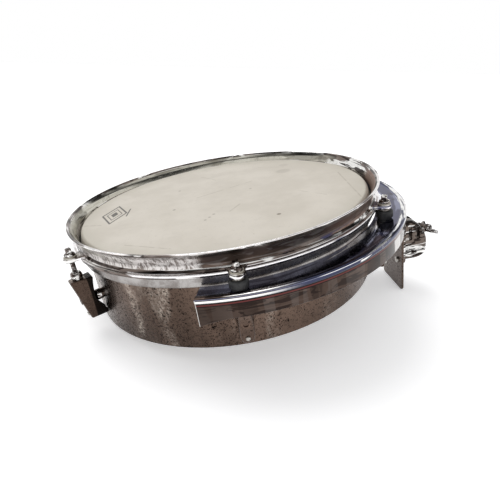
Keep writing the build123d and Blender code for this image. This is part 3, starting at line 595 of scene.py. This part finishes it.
# Marks on the head in millimetres, as ((x, y), (x, y), half width) and ((x, y), radius, strength).
SCRATCHES = (
    ((-35.0, 10.0), (42.0, 48.0), 1.3),
    ((4.0, -64.0), (17.0, -44.0), 1.5),
    ((-109.0, -115.0), (-60.0, -145.0), 1.2),
    ((-177.0, -28.0), (-150.0, -38.0), 1.4),
    ((157.0, 22.0), (153.0, -40.0), 1.2),
    ((153.0, -40.0), (150.0, -88.0), 1.2),
    ((60.0, 120.0), (96.0, 96.0), 1.0),
    ((-30.0, 118.0), (-8.0, 84.0), 0.9),
    ((92.0, -30.0), (118.0, -62.0), 0.9),
)
SPOTS = (
    ((-63.0, -25.0), 2.4, 0.7),
    ((-60.0, 57.0), 2.4, 0.5),
    ((-15.0, -65.0), 2.2, 0.6),
    ((-20.0, -73.0), 2.0, 0.6),
    ((-25.0, -80.0), 2.0, 0.6),
    ((36.0, 13.0), 2.2, 0.5),
    ((55.0, -100.0), 3.0, 0.95),
    ((91.0, 74.0), 13.0, 0.22),
    ((98.0, 108.0), 9.0, 0.15),
)
MARK_CENTRE = (-140.0, -4.0)
MARK_HALF_WIDTH = 15.0
MARK_HALF_HEIGHT = 33.0

# Chrome tones: the bright one is a painted highlight, the middle one a painted dim reflection over
# tarnish, the dark one a painted dark reflection.
BRIGHT = (0.80, 0.79, 0.77)
DIM_REFLECTION_AND_TARNISH = (0.16, 0.13, 0.115)
SHADE = (0.035, 0.027, 0.024)
shell_paint = aged("aged_shell_chrome_paint", (0.155, 0.106, 0.082), 0.7, 0.0)
lug_paint = aged("aged_lug_chrome_paint", (0.125, 0.085, 0.066), 0.3, 5.0, 192.0)
head_paint = coated_head()
hoop_paint = chrome("hoop_chrome_paint", BRIGHT, DIM_REFLECTION_AND_TARNISH, SHADE, 2.0, (1, 1, 5), 60.0, face=hoop_face)
# The band and casting tones likewise stand for painted reflections.
BAND_TONES = ((0.082, 0.058, 0.048), (0.068, 0.047, 0.038), (0.030, 0.021, 0.018))
band_paint = chrome("band_chrome_paint", *BAND_TONES, 7.0, (1, 1, 4), 60.0, face=band_face)
CASTING_TONES = (BRIGHT, (0.13, 0.105, 0.09), (0.022, 0.017, 0.015))
casting_paint = chrome("casting_chrome_paint", *CASTING_TONES, 9.0, (1, 1, 3.0), 44.0, 0.55)
clamp_paint = chrome("clamp_chrome_paint", (0.62, 0.61, 0.60), DIM_REFLECTION_AND_TARNISH, SHADE, 4.0, (1, 1, 1), 9.0)
rod_paint = chrome("rod_chrome_paint", BRIGHT, DIM_REFLECTION_AND_TARNISH, SHADE, 6.0, (1, 1, 2), 8.0)
plate_paint = aged("plate_chrome_paint", (0.20, 0.155, 0.13), 0.5, 9.0)
steel_paint = plain("fastener_steel_paint", 1.0, (0.55, 0.53, 0.5), (0.26, 0.23, 0.2),
                    0.2, 0.42, 0.02, 5.0)
rubber_paint = plain("grommet_rubber_paint", 0.0, (0.022, 0.022, 0.023), (0.010, 0.010, 0.011),
                     0.42, 0.7, 0.06, 4.0)
nylon_paint = plain("nylon_paint", 0.0, (0.50, 0.47, 0.40), (0.40, 0.37, 0.31), 0.35, 0.5, 0.02, 4.0)
aluminium_paint = plain("hoop_aluminium_paint", 1.0, (0.40, 0.385, 0.375), (0.22, 0.20, 0.19),
                        0.2, 0.36, 0.03, 22.0)
resin_paint = plain("resin_paint", 0.0, (0.42, 0.33, 0.18), (0.34, 0.26, 0.14), 0.25, 0.4, 0.03, 6.0)
gasket_paint = plain("gasket_fibre_paint", 0.0, (0.10, 0.085, 0.07), (0.06, 0.05, 0.042),
                     0.7, 0.9, 0.08, 3.0)

NODE_PAINTS = {
    "flesh_hoop": aluminium_paint,
    "head_resin": resin_paint,
    "rod_nylon_washers": nylon_paint,
    "bracket_gasket": gasket_paint,
    "eye_bolt": clamp_paint,
    "wing_washer": clamp_paint,
    "wing_nut": clamp_paint,
    "bracket_body": casting_paint,
    "mount_plate": plate_paint,
}
for name, node in frame["nodes"].items():
    node.data.materials.clear()
    node.data.materials.append(NODE_PAINTS.get(name, steel_paint))


# ---------------------------------------------------------------- shell, head and hoop

def make_shell():
    """Steel shell with rolled-in rims."""
    outline = rounded([
        (176.3, 1.5, 1.5), (172.8, 1.5, 0.6), (172.8, 0.0, 0.6), (SHELL_RADIUS, 0.0, 2.2),
        (SHELL_RADIUS, SHELL_DEPTH, 3.2), (172.8, 99.0, 0.6), (172.8, 97.2, 0.6), (176.3, 97.2, 1.5)])
    thing = clean(lathe("shell_wall", outline, 360))
    return finished(thing, shell_paint, "drum", "aged_shell_chrome", "shell")


def make_head():
    """Film: playing surface, bearing-edge curve and collar down into the flesh hoop."""
    top, low = SHELL_DEPTH + 0.4, SHELL_DEPTH
    upper = [(radius, top) for radius in (0.0, 30.0, 60.0, 90.0, 120.0, 150.0, 168.0)]
    shoulder = rounded([
        (168.0, top, 0), (176.3, top, 3.0), (178.6, 99.2, 4.0), (181.5, 88.7, 2.5), (181.5, 79.0, 0),
        (181.1, 79.0, 0), (181.1, 88.5, 2.5), (178.2, 99.0, 4.0), (176.0, low, 3.0), (168.0, low, 0)])
    outline = upper + shoulder + [(90.0, low), (0.0, low)]
    thing = clean(lathe("head_coated_film", outline, 240, closed=False))
    return finished(thing, head_paint, "drum", "coated_film", "head_film")


def make_flesh_hoop():
    """Channel ring of the head, with its bulged outer face."""
    outline = rounded([
        (179.6, 73.5, 0.5), (184.4, 73.5, 2.6), (184.4, 86.2, 2.6), (183.2, 86.2, 0.3), (183.2, 75.0, 0.4),
        (180.7, 75.0, 0.4), (180.7, 86.2, 0.3), (179.6, 86.2, 0.3)])
    thing = clean(lathe("flesh_hoop_channel", outline, 300))
    return finished(thing, aluminium_paint, "drum", "hoop_aluminium", "flesh_hoop")


def make_counter_hoop():
    """Flared hoop: rolled-out lip, curved wall, coved foot with a bead, and six ears."""
    outline = rounded([
        (182.0, 86.4, 0.8), (191.0, 86.4, 2.2), (191.0, 91.0, 2.2), (187.4, 90.2, 1.0),
        (184.3, 93.4, 3.0), (184.3, 97.2, 6.0), (187.4, 105.5, 9.0), (192.0, 110.4, 0.9),
        (192.0, 112.0, 0.9), (189.6, 112.0, 1.0), (185.2, 106.3, 9.0), (182.0, 98.0, 6.0)])
    hoop = lathe("counter_hoop_ring", outline, 360)
    ears = []
    for index in range(LUG_COUNT):
        ears.append(make_ear(index))
    thing = clean(join("counter_hoop_chrome", hoop, *ears))
    return finished(thing, hoop_paint, "drum", "hoop_chrome", "counter_hoop")


def make_ear(index):
    """Formed ear: a rounded collar for the rod, flared where it runs into the hoop."""
    half, hole, root = 7.8, 3.3, ROD_CIRCLE - 184.0
    steps = 48
    outer, inner = [], []
    for step in range(steps):
        turn = 2 * math.pi * step / steps
        x, y = half * math.cos(turn), half * math.sin(turn)
        if x < 0:
            share = -x / half
            x = -root * share
            y = math.copysign(half + 4.5 * share ** 3, y) if abs(y) > 0.01 else 0.0
        outer.append((x, y))
        inner.append((hole * math.cos(turn), hole * math.sin(turn)))
    rings = [
        (inner, 1.0, EAR_LOW + 0.4), (inner, 1.1, EAR_LOW),
        (outer, 0.90, EAR_LOW), (outer, 0.97, EAR_LOW + 0.5), (outer, 1.0, EAR_LOW + 1.6),
        (outer, 1.0, EAR_TOP - 1.6), (outer, 0.97, EAR_TOP - 0.5), (outer, 0.90, EAR_TOP),
        (inner, 1.1, EAR_TOP), (inner, 1.0, EAR_TOP - 0.4)]
    verts = [(x * scale, y * scale, z) for shape, scale, z in rings for x, y in shape]
    faces = tube_faces(len(rings), steps, True, True)
    return build("ear", verts, faces, at_rod(index))


# ---------------------------------------------------------------- rods and lugs

def make_tension_rod(index):
    """Key rod: chamfered square drive, neck, collar and a rolled thread."""
    radius, pitch, depth = 2.75, 1.06, 0.32
    low, high = 47.0, 94.8
    around, per_turn = 28, 5
    rings = int((high - low) / pitch * per_turn)
    verts = []
    for i in range(rings + 1):
        z = low + (high - low) * i / rings
        lead = min(1.0, (z - low) / 1.2)
        for j in range(around):
            phase = (z / pitch - j / around) % 1.0
            r = radius * (0.8 + 0.2 * lead) - depth * abs(2 * phase - 1)
            turn = 2 * math.pi * j / around
            verts.append((r * math.cos(turn), r * math.sin(turn), z))
    faces = tube_faces(rings + 1, around, False, True) + [tuple(range(around))[::-1]]
    thread = build("thread", verts, faces, at_rod(index))
    collar = lathe("collar", rounded([
        (0.01, 94.6, 0), (5.8, 94.6, 0.4), (5.8, 97.2, 1.0), (4.2, 97.4, 0.3), (4.2, 97.8, 0.2),
        (0.01, 98.2, 0)]), 40, at_rod(index))
    half = 3.0
    base = rounded([(half, half, 0.5), (-half, half, 0.5), (-half, -half, 0.5), (half, -half, 0.5)], 3)
    levels = [(0.93, 97.5), (1.0, 98.0), (1.0, 102.0), (0.95, 102.6), (0.84, 102.95), (0.45, 103.0)]
    verts = [(x * scale, y * scale, z) for scale, z in levels for x, y in base]
    count = len(base)
    last = (len(levels) - 1) * count
    faces = tube_faces(len(levels), count, False, True)
    faces += [tuple(range(count))[::-1], tuple(range(last, last + count))]
    drive = build("drive", verts, faces, at_rod(index))
    thing = clean(join(f"key_rod_{index + 1}", thread, collar, drive))
    name = f"tension_rod_{index + 1}"
    return finished(thing, rod_paint, name, "rod_chrome", name)


def make_lug_nut(index):
    """Swivel nut with a ball-shaped collar over the lug."""
    top = 72.0 if index in MOUNTED_LUGS else 75.0
    outline = rounded([
        (2.8, 48.0, 0.3), (4.4, 48.0, 0.6), (4.4, 66.5, 0), (5.6, 66.5, 1.6), (6.4, (66.5 + top) / 2, 3.0),
        (5.4, top, 1.8), (2.8, top, 0.5)])
    thing = clean(lathe(f"swivel_nut_{index + 1}", outline, 40, at_rod(index)))
    return finished(thing, rod_paint, "drum", "rod_chrome", f"lug_nut_{index + 1}")


LUG_FOOT = 16.0
LUG_TOP = 66.5
POST_HEIGHT = 40.0
OUTWARD = Matrix.Rotation(math.radians(90), 4, "Y")


def lug_front():
    """Front outline of a lug as (y, z) points: straight sides that draw in to a round foot."""
    outline = rounded([
        (9.75, LUG_TOP, 2.4), (-9.75, LUG_TOP, 2.4), (-9.75, 44.0, 30.0), (-8.4, 30.0, 20.0),
        (-5.2, LUG_FOOT, 4.0), (5.2, LUG_FOOT, 4.0), (8.4, 30.0, 20.0), (9.75, 44.0, 30.0)], 6)
    return refined(outline, 3.0)


def lug_face(z):
    """Radius of the sloping face at a height."""
    foot, head = 197.5, 208.3
    return foot + (head - foot) * (z - LUG_FOOT) / (LUG_TOP - LUG_FOOT)


def lug_back(z):
    """Edge that faces the shell: scooped at mid height, reaching the shell at the foot."""
    waist, reach = 44.25, 22.25
    fall = 3.0 if z > waist else 9.1
    return 187.5 - fall * min(1.0, abs(z - waist) / reach) ** 2


def make_lug(index):
    """Die-cast lug: open behind, walls that draw in towards a narrow sloping face."""
    outline = lug_front()
    count = len(outline)
    centre = Vector((0.0, 42.0))

    def inset(amount):
        moved = []
        for i in range(count):
            before, here, after = (Vector(outline[(i + k) % count]) for k in (-1, 0, 1))
            edge = after - before
            normal = Vector((-edge.y, edge.x)).normalized()
            if normal.dot(centre - here) < 0:
                normal = -normal
            moved.append(tuple(here + normal * amount))
        return moved

    def ring(amount, depth):
        points = []
        for y, z in inset(amount):
            x = depth(z)
            limit = 11.0 - 6.0 * (x - 180.0) / 29.0 - amount
            points.append((x, max(-limit, min(limit, y)), z))
        return points

    wall, edge = 1.8, 1.9
    rings = [
        ring(wall + 1.0, lambda z: lug_face(z) - wall), ring(wall, lambda z: lug_face(z) - wall - 0.8),
        ring(wall, lug_back), ring(0.5, lug_back), ring(0.0, lambda z: lug_back(z) + 0.6)]
    for step in range(6):
        turn = math.radians(90 * step / 5)
        push = edge * (1 - math.cos(turn))
        drop = edge * (1 - math.sin(turn))
        rings.append(ring(push, lambda z, drop=drop: lug_face(z) - drop))
    verts = [point for points in rings for point in points]
    faces = tube_faces(len(rings), count, False, True)
    faces += [tuple(range(count))[::-1], tuple(range((len(rings) - 1) * count, len(rings) * count))]
    cup = build("lug_cup", verts, faces, at_lug(index))
    place = at_lug(index) @ Matrix.Translation((0, 0, POST_HEIGHT)) @ OUTWARD
    post = rounded([(2.6, 187.0, 0.2), (4.6, 187.0, 0.6), (4.6, 203.0, 0), (2.6, 203.0, 0)])
    post = lathe("lug_post", post, 32, place)
    thing = clean(join(f"lug_casting_{index + 1}", cup, post))
    return finished(thing, lug_paint, "drum", "aged_lug_chrome", f"lug_body_{index + 1}")


def make_standoffs():
    """Barrel-shaped spacers between the shell and the lugs, all six in one object."""
    outline = rounded([
        (2.7, 177.5, 0), (5.4, 177.5, 0.3), (6.2, 180.5, 3.0), (6.2, 184.5, 3.0), (5.2, 187.0, 0.8),
        (2.7, 187.0, 0.2)])
    parts = []
    for index in range(LUG_COUNT):
        place = at_lug(index) @ Matrix.Translation((0, 0, POST_HEIGHT)) @ OUTWARD
        parts.append(lathe("standoff", outline, 40, place))
    thing = clean(join("lug_spacers", *parts))
    return finished(thing, rod_paint, "drum", "fastener_steel", "lug_standoffs")


# ---------------------------------------------------------------- isolation mount

BAND_CENTRE = 8.9
BAND_END = 103.5
FLANGE_IN = 186.6
CLAMP_Z = 8.0
BORE_X = 245.0
BORE_RADIUS = 5.4
BORE_REACH = 60.0

# Takes a slab's own x, y and z to the drum's y, z and x, so that it stands facing +X.
UPRIGHT = Matrix(((0, 0, 1, 0), (1, 0, 0, 0), (0, 1, 0, 0), (0, 0, 0, 1)))


def make_band():
    """Half-round band: wall, rolled corner and a flange that follows the hoop."""
    steps = 240
    rings = []
    for i in range(steps + 1):
        angle = -BAND_END + 2 * BAND_END * i / steps
        turn = math.radians(angle)
        flange = math.sqrt(FLANGE_IN ** 2 - (BAND_CENTRE * math.sin(turn)) ** 2)
        flange = -BAND_CENTRE * math.cos(turn) + flange
        near_end = max(0.0, 1.0 - (BAND_END - abs(angle)) / 8.0)
        low = 54.5 - 6.0 * near_end ** 1.5
        section = rounded([
            (210.0, low, 0.9), (212.0, low, 0.9), (212.0, 71.6, 1.5), (213.0, 73.4, 1.4),
            (213.0, 77.7, 2.6), (207.2, 77.7, 2.4), (206.0, 76.2, 1.2), (flange, 76.2, 0.9),
            (flange, 74.2, 0.9), (208.6, 74.2, 1.4), (210.0, 71.6, 1.4)], 4)
        rings.append([(BAND_CENTRE + r * math.cos(turn), r * math.sin(turn), z) for r, z in section])
    count = len(rings[0])
    verts = [point for ring in rings for point in ring]
    faces = tube_faces(len(rings), count, False, True)
    faces += [tuple(range(count))[::-1], tuple(range(steps * count, (steps + 1) * count))]
    thing = clean(build("suspension_band_chrome", verts, faces), 50.0)
    return finished(thing, band_paint, "drum", "band_chrome", "suspension_band")


def make_grommet(count, index):
    """Rubber grommet with a rounded crown, squeezed between the band and the ear."""
    outline = rounded([
        (5.02, 72.3, 0.4), (7.8, 72.3, 0.9), (7.8, 74.1, 0.4), (7.0, 74.2, 0.3), (7.0, 76.2, 0.3),
        (7.8, 76.3, 0.4), (7.8, 78.0, 0.5), (9.2, 78.5, 0.9), (9.2, 86.2, 2.2), (5.02, 86.2, 0.5)])
    thing = clean(lathe(f"rubber_grommet_{count}", outline, 56, at_rod(index)))
    return finished(thing, rubber_paint, "drum", "grommet_rubber", f"isolation_grommet_{count}")


def make_plate():
    """Hanging plate with eased edges, and the pad that beds on the band."""
    half, top, foot, corner = 32.0, 69.6, -66.0, 6.0
    outline = rounded([
        (half, top, corner), (-half, top, corner), (-half, foot, corner), (half, foot, corner)], 8)
    sheet = prism("plate_sheet", outline, 222.4, 225.4, UPRIGHT)
    arc = []
    for step in range(25):
        y = -27.0 + 54.0 * step / 24
        arc.append((BAND_CENTRE + math.sqrt(212.0 ** 2 - y * y), y))
    pad = prism("plate_pad", [(222.6, -27.0), (222.6, 27.0)] + arc[::-1], 55.0, 69.6)
    thing = clean(join("mount_plate_chrome", sheet, pad), 40.0)
    softened(thing, 0.7, 3, 50.0)
    return finished(thing, plate_paint, "drum", "band_chrome", "mount_plate")


def make_bracket():
    """Cast clamp body: base flange, barrel-fronted block, seat for the nut, bore and side recesses."""
    flange = rounded([(25, 30, 7), (-25, 30, 7), (-25, -30, 7), (25, -30, 7)], 8)
    base = softened(prism("bracket_flange", flange, 226.4, 231.4, UPRIGHT), 1.5, 3)
    profile = [
        (-25.0, 250.0, 18.0), (-24.6, 254.0, 20.0), (-23.0, 258.0, 21.2), (-20.0, 261.6, 21.8),
        (-16.0, 263.4, 22.0), (-13.6, 263.8, 22.0), (-13.0, 262.4, 20.9), (-11.6, 262.4, 20.9),
        (-11.0, 264.0, 22.0), (-4.0, 264.4, 22.0), (3.0, 264.0, 22.0), (9.0, 262.0, 21.8),
        (15.0, 259.0, 21.4), (20.0, 255.6, 20.8), (24.5, 252.0, 20.2), (27.5, 248.0, 19.4),
        (29.3, 244.0, 18.2), (29.8, 238.0, 16.0)]
    rings = []
    for _, out, half in profile:
        corners = [(229.0, -half, 0.5), (out, -half, 9.0), (out, half, 9.0), (229.0, half, 0.5)]
        rings.append(refined(rounded(corners, 6), 4.0))
    count = min(len(points) for points in rings)
    verts = []
    for (z, _, _), points in zip(profile, rings):
        for k in range(count):
            x, y = points[round(k * len(points) / count) % len(points)]
            verts.append((x, y, z))
    last = (len(profile) - 1) * count
    faces = tube_faces(len(profile), count, False, True)
    faces += [tuple(range(count))[::-1], tuple(range(last, last + count))]
    block = clean(build("bracket_block", verts, faces))
    bore = [(0.0, -BORE_REACH), (BORE_RADIUS, -BORE_REACH), (BORE_RADIUS, BORE_REACH), (0.0, BORE_REACH)]
    cutters = [lathe("bore", bore, 48, Matrix.Translation((BORE_X, 0, 0)), False)]
    for side in (-1, 1):
        for x in (239.0, 250.0):
            groove = rounded([(x - 2.0, side * 26 - 7, 1.8), (x + 2.0, side * 26 - 7, 1.8),
                              (x + 2.0, side * 26 + 7, 1.8), (x - 2.0, side * 26 + 7, 1.8)], 4)
            cutters.append(prism("groove", groove, 4.0, 34.0))
    for cutter in cutters:
        cut = block.modifiers.new("cut", "BOOLEAN")
        cut.object = clean(cutter)
        cut.operation = "DIFFERENCE"
        cut.solver = "EXACT"
    seat = rounded([(4.5, 256.0, 0), (9.5, 256.0, 0), (9.0, 264.0, 1.0), (4.5, 264.0, 0.4)])
    seat = lathe("nut_seat", seat, 48, Matrix.Translation((0, 0, CLAMP_Z)) @ OUTWARD)
    for piece in (base, block):
        settle(piece)
    for cutter in cutters:
        bpy.data.objects.remove(cutter)
    thing = clean(join("bracket_casting", block, base, seat), 40.0)
    return finished(thing, casting_paint, "drum", "casting_chrome", "bracket_body")


def make_wing_nut():
    """Cast wing nut: coned hub with a bead, and two swept wings with thick rims."""
    face = 265.7
    place = Matrix.Translation((face, 0, CLAMP_Z))
    hub = lathe("hub", rounded([
        (4.05, 0.0, 0.3), (6.5, 0.0, 0.6), (6.3, 2.6, 0.4), (5.7, 3.4, 0.5), (5.2, 10.2, 0.6),
        (4.6, 11.0, 0.5), (4.05, 11.0, 0.3)]), 48, place @ OUTWARD)
    wings = []
    for side in (-1, 1):
        outline = rounded([
            (0.6, side * 4.2, 0.5), (8.6, side * 4.2, 0.5), (9.6, side * 7.0, 3.0),
            (11.6, side * 13.0, 6.0), (13.6, side * 18.0, 3.0), (13.2, side * 21.0, 1.8),
            (10.2, side * 20.6, 1.8), (4.6, side * 14.0, 8.0), (0.8, side * 6.4, 2.0)], 6)
        wings.append(softened(prism("wing", outline, -1.7, 1.7, place), 1.1, 4, 40.0))
    for wing in wings:
        settle(wing)
    thing = clean(join("clamp_wing_nut", hub, *wings), 40.0)
    return finished(thing, clamp_paint, "clamp_wing", "clamp_chrome", "wing_nut")


make_shell()
make_head()
make_flesh_hoop()
make_counter_hoop()
for lug in range(LUG_COUNT):
    make_tension_rod(lug)
    make_lug_nut(lug)
    make_lug(lug)
make_standoffs()
make_band()
for number, lug in enumerate(MOUNTED_LUGS, 1):
    make_grommet(number, lug)
make_plate()
make_bracket()
make_wing_nut()


# ---------------------------------------------------------------- stage, light and camera

def make_floor():
    """Wide pale floor."""
    reach = 30.0
    mesh = bpy.data.meshes.new("studio_floor")
    corners = [(-reach, -reach, 0), (reach, -reach, 0), (reach, reach, 0), (-reach, reach, 0)]
    mesh.from_pydata(corners, [], [(0, 1, 2, 3)])
    floor = bpy.data.objects.new("studio_floor", mesh)
    bpy.context.scene.collection.objects.link(floor)
    material = bpy.data.materials.new("studio_floor_paint")
    material.use_nodes = True
    shader = material.node_tree.nodes["Principled BSDF"]
    shader.inputs["Base Color"].default_value = (0.93, 0.93, 0.93, 1)
    shader.inputs["Roughness"].default_value = 0.9
    shader.inputs["Specular IOR Level"].default_value = 0.1
    shader.inputs["Emission Color"].default_value = (0.98, 0.98, 1.0, 1)
    shader.inputs["Emission Strength"].default_value = 0.37
    mesh.materials.append(material)


def make_world():
    """Soft studio surround: white near the horizon, dark flags above it, white overhead."""
    world = bpy.data.worlds.new("studio")
    world.use_nodes = True
    tree = world.node_tree
    background = tree.nodes["Background"]
    coordinates = tree.nodes.new("ShaderNodeTexCoord")
    split = tree.nodes.new("ShaderNodeSeparateXYZ")
    ramp = tree.nodes.new("ShaderNodeValToRGB")
    tree.links.new(coordinates.outputs["Generated"], split.inputs[0])
    tree.links.new(split.outputs["Z"], ramp.inputs["Fac"])
    tree.links.new(ramp.outputs["Color"], background.inputs["Color"])
    stops = [
        (0.0, 1.0), (0.50, 1.0), (0.54, 0.05), (0.64, 0.04), (0.68, 0.45), (0.74, 0.06), (0.82, 0.9),
        (1.0, 0.9)]
    while len(ramp.color_ramp.elements) < len(stops):
        ramp.color_ramp.elements.new(0.5)
    for element, (place, value) in zip(ramp.color_ramp.elements, stops):
        element.position = place
        element.color = (value, value, value, 1)
    bpy.context.scene.world = world


def make_lights():
    """One broad key from above and behind on the left."""
    key = bpy.data.lights.new("key", "SUN")
    key.energy = 1.5
    key.angle = math.radians(50)
    lamp = bpy.data.objects.new("key", key)
    lamp.rotation_euler = (math.radians(-28), math.radians(-24), 0)
    bpy.context.scene.collection.objects.link(lamp)


def make_camera():
    """Camera at the taken view: a little above the head, close, with a short lens."""
    rise, roll, distance, pan, aim = 0.2758, -0.16353, 545.52, 0.04409, -0.13164
    target = Vector((0, 0, 111.66))
    back = Vector((0, -math.cos(rise), math.sin(rise)))
    right = Vector((1, 0, 0))
    up = right.cross(-back)
    forward = (-back + right * math.tan(pan) + up * math.tan(aim)).normalized()
    side = forward.cross(up).normalized()
    top = side.cross(forward)
    across = side * math.cos(roll) + top * math.sin(roll)
    over = top * math.cos(roll) - side * math.sin(roll)
    turn = DRUM.to_3x3() * 1000
    axes = [turn @ vector for vector in (across, over, -forward)]
    matrix = Matrix([(*row, 0) for row in Matrix(axes).transposed()] + [(0, 0, 0, 1)])
    data = bpy.data.cameras.new("camera")
    data.sensor_width = 36.0
    data.lens = 30.435
    data.shift_x = -0.00072
    data.shift_y = -0.01872
    data.clip_start = 0.01
    data.clip_end = 200.0
    camera = bpy.data.objects.new("camera", data)
    camera.matrix_world = Matrix.Translation(DRUM @ (target + back * distance)) @ matrix
    bpy.context.scene.collection.objects.link(camera)
    bpy.context.scene.camera = camera


make_floor()
make_world()
make_lights()
make_camera()
bpy.context.scene.view_settings.view_transform = "Standard"
